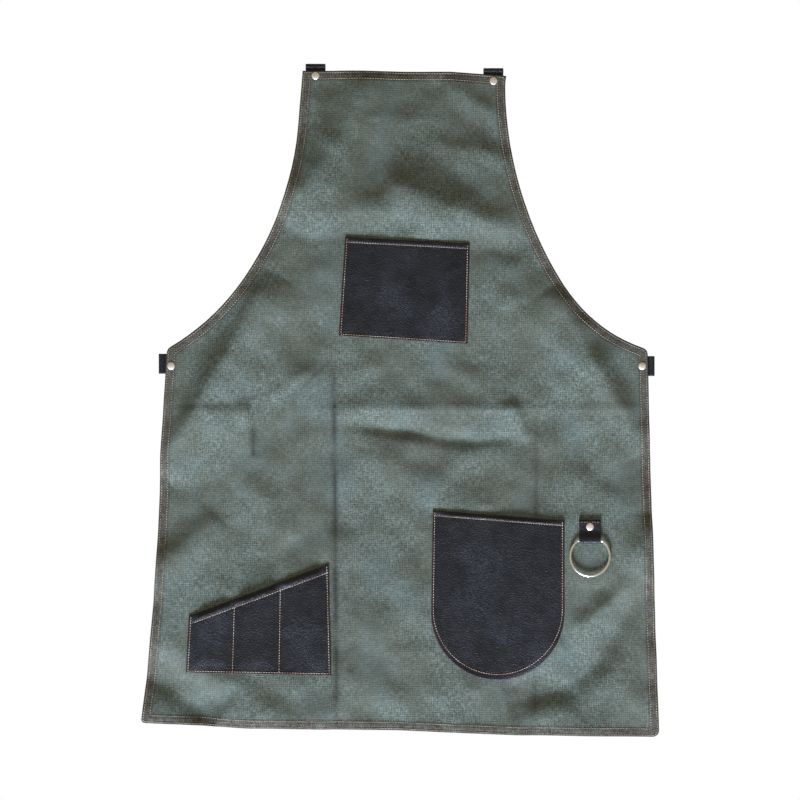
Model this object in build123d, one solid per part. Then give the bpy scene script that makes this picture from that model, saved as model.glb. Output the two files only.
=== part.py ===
"""Work apron in canvas with black leather pockets, four strap loops and a towel ring.

Millimetres. The apron hangs upright: +Z is up, the front faces -Y, and X runs across it.
The origin is midway between the eyes of the two bib loops, on the middle of the canvas's thickness.
"""

import math
import os

from build123d import *

# Thicknesses and hems
CANVAS = 1.0  # one layer of canvas
HEM_LAYERS = 3  # the hem is turned under twice
HEM_WIDTH = 12.0
LEATHER = 1.4  # pocket leather
STRAP = 1.6  # leather of the loops and the ring tab
FRONT = CANVAS / 2  # distance of the canvas's front face from the mid-plane
HEM_BACK = HEM_LAYERS * CANVAS - CANVAS / 2  # distance of the hem's back face behind the mid-plane

# Outline of the canvas, as (x, z). The cloth hangs a little out of true, so left and right differ.
BIB_LEFT, BIB_MIDDLE, BIB_RIGHT = (-132.5, -2.5), (60.0, -3.6), (132.3, -9.2)
ARMHOLE_LEFT, ARMHOLE_RIGHT = (-138.6, -76.5), (131.0, -20.0)  # the armhole curves start here
KNEE_LEFT, KNEE_RIGHT = (-208.4, -272.0), (207.0, -281.5)  # the armhole curves tighten here
WAIST_LEFT, WAIST_RIGHT = (-308.8, -364.0), (316.2, -364.8)
SIDE_LEFT, SIDE_LEFT_BOW, SIDE_RIGHT = (-317.8, -500.0), (-324.7, -668.0), (322.6, -600.0)
HEM_LEFT, HEM_RIGHT = (-342.5, -850.0), (331.0, -868.4)
HEM_BENDS = [(150.0, -866.3), (-6.0, -859.8), (-200.0, -857.0)]  # along the bottom, from right to left
WAIST_ROUND, HEM_LEFT_ROUND, HEM_RIGHT_ROUND = 9.0, 4.0, 8.0

# Strap loops: a folded leather strip riveted behind the hem, with a round eye past the edge
LOOP_WIDTH = 26.0
EYE_RADIUS = 2.6
EYE_OUT = 5.6  # the eye's axis, out from the cloth's edge
TAIL = 12.0
# name: (middle of the loop, edge of the cloth, outward direction, rivet), all in (x, z)
LOOPS = {
    "bib_left": ((-115.7, -2.8), (0, 1), (-115.7, -9.3)),
    "bib_right": ((115.7, -8.4), (0, 1), (115.7, -15.9)),
    "waist_left": ((-310.2, -383.5), (-1, 0), (-303.5, -386.5)),
    "waist_right": ((315.8, -386.5), (1, 0), (309.0, -386.5)),
}

# Rivets: a domed cap with a stem in front, and a flat cap with a socket behind
CAP_RADIUS, CAP_RIM, CAP_HEIGHT = 5.0, 0.5, 1.7
BACK_RADIUS, BACK_HEIGHT = 4.5, 1.2
STEM_RADIUS, SOCKET_RADIUS, RIVET_GAP = 1.3, 2.0, 0.05
DRILL = 30.0  # a rivet's hole is cut this far to the front and to the back

# Pockets
SEAM = 4.5  # flat band that is sewn to the canvas
ROW_IN = 2.6  # a row of stitching, in from a leather edge
MOUTH_ROW = 6.5  # the row along a pocket's mouth, below its edge
TOOL_MOUTH_ROW = 10.0  # the tool pocket's mouth is folded over wider
POCKET_DEPTH = 6.0  # how far a pocket stands open
SLOPE = 45.0
WALL = LEATHER * math.sqrt(2)  # a sloping wall's thickness, measured level
PAST_MOUTH = 40.0  # pockets are made this much too tall, then cut at the mouth
CHEST = [(-77.0, -219.2), (84.5, -227.8), (82.0, -358.3), (-85.5, -347.5)]
TOOL = [(-280.0, -711.4), (-98.6, -644.2), (-95.0, -788.6), (-284.0, -785.0)]
DIVIDERS = [((-221.0, -689.3), (-223.6, -785.2)), ((-161.6, -667.1), (-163.0, -786.5))]
DIVIDER_BAND = 5.0
ROUND_TOP = [(36.8, -574.5), (207.8, -587.4)]
ROUND_RADIUS = 86.5
ROUND_CENTRE = (121.2, -708.0)
ROUND_ROW_RAISE = 5.0  # the round pocket's border is wider low down, where its row is this much higher

# Towel ring and its tab
WIRE = 1.5  # radius of the ring's wire
RING_RADIUS = 25.6
BAR_DROP = 20.0  # the straight bar lies this far above the ring's centre
BAR_BEND = 2.5
TAB_WIDTH = 28.0
TAB_HEIGHT = 27.0
TAB_RIVET = 18.3  # above the bar
FOLD_GAP = 0.25
FOLD_INNER = WIRE + FOLD_GAP
FOLD_OUTER = FOLD_INNER + STRAP
RING_X, BAR_Z = 240.8, -613.6
BAR_Y = -(FRONT + FOLD_OUTER)
TAB_FRONT = FRONT + 2 * STRAP
FOLD_CLOSES = 12.0  # the tab's two layers meet this far above the bar

# Stitching rows
THREAD_WIDTH, THREAD_PROUD = 0.8, 0.4
HEM_ROWS = (2.5, 10.5)  # the hem's two rows, in from the edge
HEM_BREAK = 2 * CAP_RADIUS + 0.6  # where a rivet's cap covers a row, it stops


def plane(front):
    """The upright plane that far in front of the canvas's middle, looking back at it."""
    return Plane.XZ.offset(front)


def prism(face, front, thick):
    """A flat piece: a face drawn in (x, z), from `front` forward by `thick`."""
    return extrude(plane(front) * face, thick)


def polygon(points):
    return make_face(Polyline(*points, close=True))


def disc(centre, radius):
    return Pos(*centre) * Circle(radius)


def below(left, right, drop=400.0, aside=60.0):
    """The half-plane under the line through two points, as a large face."""
    slope = (right[1] - left[1]) / (right[0] - left[0])
    a = (left[0] - aside, left[1] - aside * slope)
    b = (right[0] + aside, right[1] + aside * slope)
    return polygon([a, b, (b[0], b[1] - drop), (a[0], a[1] - drop)])


def outline():
    """The cloth's outline, before its corners are rounded."""
    bib_left = Line(BIB_LEFT, ARMHOLE_LEFT)
    upper_left = TangentArc(ARMHOLE_LEFT, KNEE_LEFT, tangent=bib_left % 1)
    upper_right = TangentArc(ARMHOLE_RIGHT, KNEE_RIGHT, tangent=(0, -1))
    return make_face([
        Line(BIB_LEFT, BIB_MIDDLE),
        Line(BIB_MIDDLE, BIB_RIGHT),
        Line(BIB_RIGHT, ARMHOLE_RIGHT),
        upper_right,
        TangentArc(KNEE_RIGHT, WAIST_RIGHT, tangent=upper_right % 1),
        Polyline(WAIST_RIGHT, SIDE_RIGHT, HEM_RIGHT, *HEM_BENDS, HEM_LEFT),
        ThreePointArc(HEM_LEFT, SIDE_LEFT_BOW, SIDE_LEFT),
        Line(SIDE_LEFT, WAIST_LEFT),
        TangentArc(KNEE_LEFT, WAIST_LEFT, tangent=upper_left % 1),
        upper_left,
        bib_left,
    ])


def cloth_face():
    """The outline with its corners rounded."""
    face = outline()
    for corner, radius in (
        (WAIST_LEFT, WAIST_ROUND),
        (WAIST_RIGHT, WAIST_ROUND),
        (HEM_LEFT, HEM_LEFT_ROUND),
        (HEM_RIGHT, HEM_RIGHT_ROUND),
    ):
        face = fillet(face.vertices().sort_by_distance(Vector(*corner))[0], radius)
    return face


def shrunk(face, inset):
    """A face with its edge moved in, and its corners kept sharp."""
    return offset(face, -inset, kind=Kind.TANGENT)


def band(face, inset, width=THREAD_WIDTH):
    """The strip of a face that runs `inset` in from its edge."""
    return shrunk(face, inset - width / 2) - shrunk(face, inset + width / 2)


def rivet_places():
    """Each rivet's place and the front and back faces of the stack that it holds."""
    places = {name: (rivet, FRONT, HEM_BACK + 2 * STRAP) for name, (_, _, rivet) in LOOPS.items()}
    places["ring_tab"] = ((RING_X, BAR_Z + TAB_RIVET), TAB_FRONT, CANVAS / 2)
    return places


def rivet_hole(place):
    """A long drill through everything at a rivet."""
    return prism(disc(place, SOCKET_RADIUS + RIVET_GAP), -DRILL, 2 * DRILL)


def apron_panel():
    """The canvas with its turned hem, and the rivets' holes."""
    cloth = cloth_face()
    panel = prism(cloth, -CANVAS / 2, CANVAS)
    hem = cloth - shrunk(outline(), HEM_WIDTH)
    panel += prism(hem, -HEM_BACK, HEM_BACK - CANVAS / 2)
    for place, _, _ in rivet_places().values():
        panel -= rivet_hole(place)
    return panel


def strap_loop(middle, out, rivet):
    """A leather strip folded round its eye, with both tails behind the hem."""
    across = (-out[1], out[0])
    side = Plane(
        origin=(middle[0], HEM_BACK + STRAP, middle[1]),
        x_dir=(out[0], 0, out[1]),
        z_dir=(across[0], 0, across[1]),
    )
    outer = EYE_RADIUS + STRAP
    profile = Pos(EYE_OUT, 0) * Circle(outer)
    profile += Pos((EYE_OUT - TAIL) / 2, 0) * Rectangle(EYE_OUT + TAIL, 2 * STRAP)
    profile -= Pos(EYE_OUT, 0) * Circle(EYE_RADIUS)
    loop = extrude(side * profile, LOOP_WIDTH / 2, both=True)
    return loop - rivet_hole(rivet)


def rivet_cap(place, front, back):
    """The domed front cap and its stem. Drawn as (radius, forward) and turned."""
    stem_end = -(front + back) + RIVET_GAP
    profile = make_face([
        Polyline((0, CAP_HEIGHT), (0, stem_end), (STEM_RADIUS, stem_end), (STEM_RADIUS, 0),
                 (CAP_RADIUS, 0), (CAP_RADIUS, CAP_RIM)),
        TangentArc((0, CAP_HEIGHT), (CAP_RADIUS, CAP_RIM), tangent=(1, 0)),
    ])
    return turned(profile, place, front)


def rivet_post(place, front, back):
    """The back cap and its socket round the stem."""
    shut = -(front + back)
    gap = STEM_RADIUS + RIVET_GAP
    profile = polygon([
        (0, shut), (gap, shut), (gap, -RIVET_GAP), (SOCKET_RADIUS, -RIVET_GAP),
        (SOCKET_RADIUS, shut), (BACK_RADIUS, shut), (BACK_RADIUS, shut - BACK_HEIGHT * 0.5),
        (BACK_RADIUS - 0.6, shut - BACK_HEIGHT), (0, shut - BACK_HEIGHT),
    ])
    return turned(profile, place, front)


def turned(profile, place, front):
    """A (radius, forward) profile turned about a line from back to front through `place`."""
    about = Plane(origin=(place[0], -front, place[1]), x_dir=(1, 0, 0), z_dir=(0, 0, 1))
    # In that plane the second coordinate runs to +Y, so it is mirrored to run forward.
    return revolve(about * mirror(profile, Plane.XZ), Axis((place[0], 0, place[1]), (0, 1, 0)), 360)


def raised(face):
    """The hollow front of a pocket over a base face: (outer bump, cavity)."""
    cavity_base = shrunk(face, WALL)
    outer = extrude(plane(FRONT) * face, POCKET_DEPTH + LEATHER, taper=SLOPE)
    cavity = extrude(plane(FRONT) * cavity_base, POCKET_DEPTH, taper=SLOPE)
    return outer, cavity


def pocket(face, compartments, mouth):
    """A pocket sewn on by a flat band, open at the mouth line."""
    shell = prism(face, FRONT, LEATHER)
    bumps = [raised(base) for base in compartments]
    for outer, _ in bumps:
        shell += outer
    for _, cavity in bumps:
        shell -= cavity
    return shell & prism(below(*mouth), FRONT, POCKET_DEPTH + 2 * LEATHER)


def taller(points):
    """A four-cornered pocket, from its top left clockwise, made taller past its mouth."""
    def up(top, bottom):
        long = math.dist(top, bottom)
        return tuple(t + (t - b) / long * PAST_MOUTH for t, b in zip(top, bottom))
    top_left, top_right, low_right, low_left = points
    return [up(top_left, low_left), up(top_right, low_right), low_right, low_left]


def chest_face():
    return polygon(taller(CHEST))


def tool_face():
    return polygon(taller(TOOL))


def tool_compartments():
    """The three bases between the side seams and the dividers."""
    inner = shrunk(tool_face(), SEAM)
    for (top_x, top_z), (low_x, low_z) in DIVIDERS:
        lean = (top_x - low_x) / (top_z - low_z)
        high, low = PAST_MOUTH + top_z, low_z - SEAM
        x_high, x_low = top_x + lean * (high - top_z), low_x + lean * (low - low_z)
        half = DIVIDER_BAND / 2
        inner -= polygon([(x_high - half, high), (x_high + half, high), (x_low + half, low), (x_low - half, low)])
    return inner.faces()


def round_face(inset=0.0, rise=0.0):
    """Straight sides, and a half-round bottom. The sides may move in, and the bottom up."""
    cx, cz = ROUND_CENTRE[0], ROUND_CENTRE[1] + rise
    radius = ROUND_RADIUS - inset
    left, right = (cx - radius, cz), (cx + radius, cz)
    (lx, lz), (rx, rz) = ROUND_TOP
    lx, rx = lx + inset, rx - inset
    lean = (lx - left[0]) / (lz - left[1])
    tall_left = (lx + lean * PAST_MOUTH, lz + PAST_MOUTH)
    tall_right = (rx, rz + PAST_MOUTH)
    return make_face([
        Line(left, tall_left),
        Line(tall_left, tall_right),
        Line(tall_right, right),
        ThreePointArc(right, (cx, cz - radius), left),
    ])


def pocket_thread(sewn, mouth, drop=MOUTH_ROW, rows=()):
    """The stitching on a pocket: round the face that is `sewn`, along its mouth, and any more rows."""
    (lx, lz), (rx, rz) = mouth
    under = below((lx, lz - THREAD_WIDTH), (rx, rz - THREAD_WIDTH))
    thread = prism(band(sewn, 0) & under, FRONT + LEATHER, THREAD_PROUD)
    plateau = shrunk(sewn, SEAM - ROW_IN + POCKET_DEPTH + LEATHER + 1)
    half = THREAD_WIDTH / 2
    strip = below((lx, lz - drop + half), (rx, rz - drop + half))
    strip -= below((lx, lz - drop - half), (rx, rz - drop - half), aside=80)
    thread += prism(plateau & strip, FRONT + POCKET_DEPTH + LEATHER, THREAD_PROUD)
    for (top_x, top_z), (low_x, low_z) in rows:
        thread += prism(polygon([
            (top_x - half, top_z - 2), (top_x + half, top_z - 2),
            (low_x + half, low_z + ROW_IN + 1), (low_x - half, low_z + ROW_IN + 1),
        ]), FRONT + LEATHER, THREAD_PROUD)
    return thread


def hem_thread(inset):
    """One row of the hem's stitching, broken where a rivet's cap covers it."""
    row = prism(band(outline(), inset), FRONT, THREAD_PROUD)
    for _, _, rivet in LOOPS.values():
        row -= prism(Pos(*rivet) * Rectangle(HEM_BREAK, HEM_BREAK), 0, POCKET_DEPTH)
    return row


def ring_tab():
    """A leather strip folded round the ring's bar, sewn and riveted to the canvas."""
    side = Plane(origin=(RING_X, 0, BAR_Z), x_dir=(0, 1, 0), z_dir=(1, 0, 0))
    fold_front = BAR_Y - FOLD_OUTER
    body = polygon([
        (fold_front, 0), (-TAB_FRONT, FOLD_CLOSES), (-TAB_FRONT, TAB_HEIGHT), (-FRONT, TAB_HEIGHT), (-FRONT, 0),
    ])
    body += Pos(BAR_Y, 0) * Circle(FOLD_OUTER)
    middle = -(FRONT + STRAP)
    body -= polygon([(fold_front + STRAP, 0), (middle, FOLD_CLOSES - 1), (middle, 0)])
    body -= Pos(BAR_Y, 0) * Circle(FOLD_INNER)
    tab = extrude(side * body, TAB_WIDTH / 2, both=True)
    place, _, _ = rivet_places()["ring_tab"]
    return tab - rivet_hole(place)


def ring_tab_thread():
    row = Pos(RING_X, BAR_Z + TAB_HEIGHT - ROW_IN) * Rectangle(TAB_WIDTH - 3, THREAD_WIDTH)
    return prism(row, TAB_FRONT, THREAD_PROUD)


def towel_ring():
    """A round wire ring with one straight side, which lies in the tab's fold."""
    loop = Circle(RING_RADIUS) & Pos(0, BAR_DROP - RING_RADIUS) * Rectangle(4 * RING_RADIUS, 2 * RING_RADIUS)
    loop = fillet(loop.vertices(), BAR_BEND)
    face = Plane(origin=(RING_X, BAR_Y, BAR_Z - BAR_DROP), x_dir=(1, 0, 0), z_dir=(0, -1, 0)) * loop
    path = face.faces()[0].outer_wire()
    return sweep(Plane(origin=path @ 0, z_dir=path % 0) * Circle(WIRE), path=path)


def build():
    chest, tool = chest_face(), tool_face()
    round_sewn = round_face(ROW_IN, ROUND_ROW_RAISE)
    nodes = {
        "apron_panel": apron_panel(),
        "chest_pocket": pocket(chest, shrunk(chest, SEAM).faces(), CHEST[:2]),
        "tool_pocket": pocket(tool, tool_compartments(), TOOL[:2]),
        "round_pocket": pocket(round_face(), shrunk(round_sewn, SEAM - ROW_IN).faces(), ROUND_TOP),
        "ring_tab": ring_tab(),
        "towel_ring": towel_ring(),
        "hem_thread_outer": hem_thread(HEM_ROWS[0]),
        "hem_thread_inner": hem_thread(HEM_ROWS[1]),
        "chest_pocket_thread": pocket_thread(shrunk(chest, ROW_IN), CHEST[:2]),
        "tool_pocket_thread": pocket_thread(shrunk(tool, ROW_IN), TOOL[:2], TOOL_MOUTH_ROW, DIVIDERS),
        "round_pocket_thread": pocket_thread(round_sewn, ROUND_TOP),
        "ring_tab_thread": ring_tab_thread(),
    }
    for name, (middle, out, rivet) in LOOPS.items():
        nodes[f"{name}_loop"] = strap_loop(middle, out, rivet)
    for name, (place, front, back) in rivet_places().items():
        nodes[f"{name}_rivet_cap"] = rivet_cap(place, front, back)
        nodes[f"{name}_rivet_post"] = rivet_post(place, front, back)
    return nodes


os.makedirs("parts", exist_ok=True)
for node, shape in build().items():
    export_step(shape, f"parts/{node}.step")
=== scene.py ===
"""A canvas work apron: creased cloth, stitching, leather pockets, loops, rivets and a towel ring.

Shapes are worked out in millimetres as (x, z) across the cloth and a height towards the front,
and become metres when a mesh is made. The CAD model's nodes say where each piece is. The cloth's
folds and creases have their own places, in the lists below.
"""

import math

import bmesh
import bpy
import numpy as np
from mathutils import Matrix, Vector, noise
from mathutils.geometry import delaunay_2d_cdt


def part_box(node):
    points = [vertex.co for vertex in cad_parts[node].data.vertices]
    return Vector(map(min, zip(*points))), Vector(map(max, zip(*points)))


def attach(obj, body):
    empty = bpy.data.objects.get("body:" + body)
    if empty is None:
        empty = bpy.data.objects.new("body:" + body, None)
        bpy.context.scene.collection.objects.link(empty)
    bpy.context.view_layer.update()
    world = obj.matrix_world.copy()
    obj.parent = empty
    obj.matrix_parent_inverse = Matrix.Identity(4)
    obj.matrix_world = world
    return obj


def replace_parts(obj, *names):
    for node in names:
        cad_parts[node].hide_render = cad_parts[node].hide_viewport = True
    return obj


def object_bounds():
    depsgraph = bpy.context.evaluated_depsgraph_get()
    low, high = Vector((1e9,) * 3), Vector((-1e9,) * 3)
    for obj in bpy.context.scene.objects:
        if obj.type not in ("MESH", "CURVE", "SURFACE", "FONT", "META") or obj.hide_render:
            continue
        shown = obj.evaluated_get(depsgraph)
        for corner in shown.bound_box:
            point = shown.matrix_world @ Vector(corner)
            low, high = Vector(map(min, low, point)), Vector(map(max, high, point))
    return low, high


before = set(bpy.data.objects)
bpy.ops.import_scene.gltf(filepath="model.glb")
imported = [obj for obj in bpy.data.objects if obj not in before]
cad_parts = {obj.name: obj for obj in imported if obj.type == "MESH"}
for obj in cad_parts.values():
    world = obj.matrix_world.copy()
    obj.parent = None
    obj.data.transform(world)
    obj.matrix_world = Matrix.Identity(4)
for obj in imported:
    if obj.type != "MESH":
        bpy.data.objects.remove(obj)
cad_box = [list(corner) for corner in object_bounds()]
MM = 0.001

# Sizes shared with the CAD model
FRONT = 0.5  # the canvas's front face, in front of its middle
HEM_WIDTH = 12.0
HEM_BACK = 2.5  # the turned hem's back face, behind the canvas's middle
LEATHER = 1.4
STRAP = 1.6  # the leather of the loops and the tab
STRAP_GAP = 0.05  # taken off a strap's thickness, so that it clears what it lies on
LOOP_WIDTH, LOOP_EYE = 26.0, 4.2  # the eye's height is from its middle to its outer end
WIRE_RADIUS, FOLD_INSIDE = 1.5, 1.75  # the ring's bar, and the tab's fold round it
CAP_HEIGHT = 1.7  # a rivet's cap, in front of its seat
ROW_IN = 2.6  # from a leather edge to the row that sews it on
MOUTH_ROW, TOOL_MOUTH_ROW = 6.5, 10.0  # from a pocket's mouth to the row that trims it
DIVIDERS = ((0.326, 0.320), (0.654, 0.640))  # each row's place across the mouth and the bottom
THREAD_WIDTH = 0.8
HEM_ROWS = (2.5, 10.5)  # in from the hem's edge
STRAP_LOOPS = ("bib_left", "bib_right", "waist_left", "waist_right")

# How finely things are meshed
CLOTH_PITCH = 4.0
LEATHER_PITCH = 3.0
STITCH_PITCH = 3.4
STITCH_LENGTH = 2.5
STITCH_SIDES = 5
STITCH_RADIUS = 0.38
STITCH_BOW = (-0.28, 0.2, 0.2, -0.28)  # how far a stitch's rings stand off the surface
STITCH_TAPER = (0.65, 1.0, 1.0, 0.65)
HEM_STITCH_OUT, BACK_STITCH_OUT = 0.3, 0.42  # off the hem's faces, and off the cloth's back
RIVET_CLEAR, LOOP_CLEAR = 5.6, 16.0  # from a rivet, where stitches are hidden by its cap or its loop

# What holds the cloth flat: from still to loose, over distances in millimetres
POCKET_CALM, POCKET_HOLD = (-14, 8), 0.75
RIVET_CALM, RIVET_SWAY = (9, 42), (9, 95)
RING_CALM, RING_SWAY = (28, 46), (34, 170)

# The picture and its light, in metres
VIEW_WIDTH = 1.04  # how much of the apron's plane the picture takes in
VIEW_CENTRE = (-0.00585, -0.4307)
CAMERA_DISTANCE = 3.0
APRON_MIDDLE = (0, 0, -0.45)
AMBIENT = (1.0, 0.88, 0.70, 1)
AMBIENT_STRENGTH = 0.435
FLOOR_RADIUS, FLOOR_DROP = 1.4, 0.6

# Soft folds: the crest's points from left to right, its half-widths above and below, and its height
FOLDS = [
    ([(-142, -187), (-84, -184), (-6, -186), (70, -200)], 32, 22, 7.0),
    ([(-30, -147), (6, -156), (50, -178), (98, -195), (155, -211)], 22, 26, 9.5),
    ([(-150, -218), (-70, -221), (-20, -227)], 8, 10, -1.6),
    ([(-8, -190), (6, -216)], 9, 9, -1.6),
    ([(25, -98), (85, -104), (145, -122)], 15, 18, 3.4),
    ([(-60, -62), (15, -66), (75, -68)], 12, 14, 1.6),
    ([(45, -20), (98, -44), (150, -90)], 17, 22, 4.0),
    ([(-165, -190), (-107, -125), (-68, -64), (-40, 10)], 33, 40, 13.2),
    ([(-325, -525), (-302, -492), (-276, -453), (-250, -407), (-224, -362), (-205, -323), (-172, -265)],
     17, 40, 14.2),
    ([(-262, -448), (-232, -447), (-195, -443)], 11, 34, 4.6),
    ([(-203, -430), (-199, -500)], 9, 11, 1.8),
    ([(190, -285), (222, -340), (244, -381), (263, -414), (283, -446), (312, -500)], 20, 42, 10.5),
    ([(-100, -441), (30, -440), (190, -441)], 24, 18, 3.6),
    ([(-90, -460), (-6, -471), (59, -482), (96, -486), (150, -476)], 13, 9, -4.6),
    ([(137, -431), (163, -483)], 7, 16, 3.0),
    ([(-30, -500), (55, -548)], 22, 24, 3.0),
    ([(20, -505), (80, -545)], 15, 14, -1.6),
    ([(-205, -530), (-140, -615)], 22, 24, 2.4),
    ([(-345, -664), (-290, -628), (-245, -580)], 20, 36, 6.5),
    ([(-345, -738), (-279, -762), (-220, -808), (-185, -853)], 24, 36, 4.6),
    ([(-350, -780), (-300, -808), (-246, -852)], 38, 17, -9.0),
    ([(-235, -842), (-95, -848)], 22, 30, 5.0),
    ([(-115, -875), (-66, -780)], 13, 15, 2.2),
    ([(60, -860), (88, -800)], 15, 15, 2.4),
    ([(131, -825), (215, -806), (256, -766), (279, -723), (315, -660)], 42, 18, -11.0),
    ([(205, -736), (246, -712), (276, -688), (298, -652), (316, -580)], 15, 36, 8.5),
    ([(88, -610), (93, -690), (90, -775)], 7, 9, 3.4),
    ([(80, -230), (150, -238), (195, -270)], 16, 16, -2.6),
    ([(110, -300), (200, -296)], 18, 22, 2.6),
    ([(-186, -434), (-103, -378)], 7, 10, 1.5),
    ([(-80, -392), (-20, -388)], 9, 12, 1.4),
    ([(-160, -400), (-95, -396)], 9, 12, 1.2),
    ([(0, -620), (20, -740)], 14, 14, 1.8),
]
# Pressed creases, from folding the apron away: start, end, height, and how dark the shade painted along
# them is
CREASES = [
    ((-120, -441), (315, -440), 1.6, 0.3),
    ((-92, -372), (-88, -860), -4.0, 0.95),
    ((172, -430), (170, -860), -1.5, 0.5),
    ((-197, -432), (-197, -505), -2.4, 0.8),
    ((-300, -438), (-195, -437), -0.9, 0.55),
    ((-150, -430), (-92, -372), -0.8, 0.35),
    ((-6, -380), (150, -385), -0.5, 0.2),
]
# How wide the pressed creases are, and how wide the shade painted along them is
CREASE_WIDTH, CREASE_SHADE_WIDTH = 5.5, 3.4
HEM_PUCKER, HEM_SWELL = 0.3, 0.25
ROW_DENT, ROW_DENT_WIDTH = 0.4, 1.1
# The whole cloth's bow: its height, how far it is moved back, its crest's z and its wavelength
SWAY, SWAY_BACK, SWAY_CREST, SWAY_LENGTH = 4.6, 1.0, -215.0, 650.0


# ---------------------------------------------------------------- outlines


def node_points(node):
    """A CAD node's vertices in millimetres."""
    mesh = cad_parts[node].data
    places = np.empty(3 * len(mesh.vertices))
    mesh.vertices.foreach_get("co", places)
    return places.reshape(-1, 3) / MM


def node_box(node):
    """A CAD node's box in millimetres: its low and its high corner."""
    return [np.array(corner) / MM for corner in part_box(node)]


def cloth_outline():
    """The edge of the panel's front face, in order anticlockwise, as (x, z)."""
    bm = bmesh.new()
    bm.from_mesh(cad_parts["apron_panel"].data)
    bmesh.ops.remove_doubles(bm, verts=bm.verts, dist=1e-6)
    front = {f for f in bm.faces if f.normal.y < -0.99}
    rim = [e for e in bm.edges if sum(f in front for f in e.link_faces) == 1]
    beside = {}
    for edge in rim:
        for vert in edge.verts:
            beside.setdefault(vert, []).append(edge.other_vert(vert))
    start = min(beside, key=lambda v: v.co.x)
    loop, last = [start], None
    while True:
        ahead = [v for v in beside[loop[-1]] if v is not last][0]
        if ahead is start:
            break
        last = loop[-1]
        loop.append(ahead)
    points = np.array([(v.co.x, v.co.z) for v in loop]) / MM
    bm.free()
    return anticlockwise(points)


def hull_outline(node):
    """The convex outline of a node as seen from the front, anticlockwise."""
    points = sorted(set(map(tuple, np.round(node_points(node)[:, [0, 2]], 3))))
    halves = []
    for order in (points, points[::-1]):
        half = []
        for p in order:
            while len(half) > 1 and cross(half[-1], half[-2], p) >= 0:
                half.pop()
            half.append(p)
        halves += half[:-1]
    return without_straight(anticlockwise(np.array(halves)))


def without_straight(points, slack=0.04):
    """A closed outline less the points that lie on the line between their neighbours."""
    kept = [points[0]]
    for point, ahead in zip(points[1:], np.roll(points, -2, axis=0)):
        gap = abs(cross(kept[-1], point, ahead)) / math.dist(kept[-1], ahead)
        if gap > slack:
            kept.append(point)
    return np.array(kept)


def cross(origin, a, b):
    """Twice the area of a triangle; positive if it runs anticlockwise."""
    return (a[0] - origin[0]) * (b[1] - origin[1]) - (a[1] - origin[1]) * (b[0] - origin[0])


def area_inside(outline):
    """The area inside a closed outline; negative if it runs clockwise."""
    ahead = np.roll(outline, -1, axis=0)
    return np.sum(outline[:, 0] * ahead[:, 1] - ahead[:, 0] * outline[:, 1]) / 2


def anticlockwise(points):
    return points if area_inside(points) > 0 else points[::-1]


def corners(points, sharp=20.0):
    """The indices where a closed outline turns sharply."""
    into = points - np.roll(points, 1, axis=0)
    out = np.roll(points, -1, axis=0) - points
    turn = np.arctan2(into[:, 0] * out[:, 1] - into[:, 1] * out[:, 0], np.sum(into * out, axis=1))
    return [int(i) for i in np.flatnonzero(np.abs(np.degrees(turn)) > sharp)]


def resample(points, pitch):
    """Evenly spaced points round a closed outline, keeping its sharp corners."""
    stops = corners(points)
    start = stops[0] if stops else 0
    points = np.roll(points, -start, axis=0)
    stops = [s - start for s in stops] or [0]
    closed = np.vstack([points, points[:1]])
    even = []
    for a, b in zip(stops, stops[1:] + [len(points)]):
        even.append(spread(closed[a : b + 1], pitch)[:-1])
    return np.vstack(even)


def spread(line, pitch):
    """Evenly spaced points along an open line."""
    runs = np.r_[0, np.cumsum(np.hypot(*np.diff(line, axis=0).T))]
    steps = max(1, round(runs[-1] / pitch))
    at = np.linspace(0, runs[-1], steps + 1)
    return np.column_stack([np.interp(at, runs, line[:, k]) for k in (0, 1)])


def inset_line(points, inset):
    """A closed outline moved in, less the points that its corners would fold over."""
    into = points - np.roll(points, 1, axis=0)
    out = np.roll(points, -1, axis=0) - points
    normals = [np.column_stack([v[:, 1], -v[:, 0]]) / np.hypot(*v.T)[:, None] for v in (into, out)]
    mitre = normals[0] + normals[1]
    mitre /= 1 + np.sum(normals[0] * normals[1], axis=1)[:, None]
    moved = points - inset * mitre
    far, _, _ = beside_line(moved, np.vstack([points, points[:1]]))
    return moved[far > inset * 0.985]


def beside_line(points, line):
    """For each point: its distance from a line, its side (1 is left) and its place along it (0 to 1)."""
    line = np.asarray(line, float)
    runs = np.diff(line, axis=0)
    lengths = np.hypot(*runs.T)
    before = np.r_[0, np.cumsum(lengths)]
    best = np.full(len(points), np.inf)
    side = np.ones(len(points))
    place = np.zeros(len(points))
    for start, run, length, gone in zip(line, runs, lengths, before):
        if length == 0:
            continue
        t = np.clip((points - start) @ run / length**2, 0, 1)
        gap = points - start - t[:, None] * run
        far = np.hypot(*gap.T)
        near = far < best
        best[near] = far[near]
        side[near] = np.where(run[0] * gap[near, 1] > run[1] * gap[near, 0], 1, -1)
        place[near] = (gone + t[near] * length) / before[-1]
    return best, side, place


def smooth(low, high, value):
    """0 at `low`, 1 at `high`, with an easy rise between them."""
    t = np.clip((value - low) / (high - low), 0, 1)
    return t * t * (3 - 2 * t)


def ripple(points, across, up, seed=0.0):
    """Smooth noise of about -1 to 1, with the given sizes across and up."""
    return np.array([noise.noise(Vector((x / across, z / up, seed))) for x, z in points])


def fading(place, power):
    """1 along most of a line, falling to 0 at its two ends."""
    return 1 - np.abs(2 * place - 1) ** power


def turned(points, degrees):
    """Points turned clockwise about the origin."""
    c, s = math.cos(math.radians(degrees)), math.sin(math.radians(degrees))
    return np.asarray(points) @ np.array([[c, -s], [s, c]])


# ---------------------------------------------------------------- the cloth's shape

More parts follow.
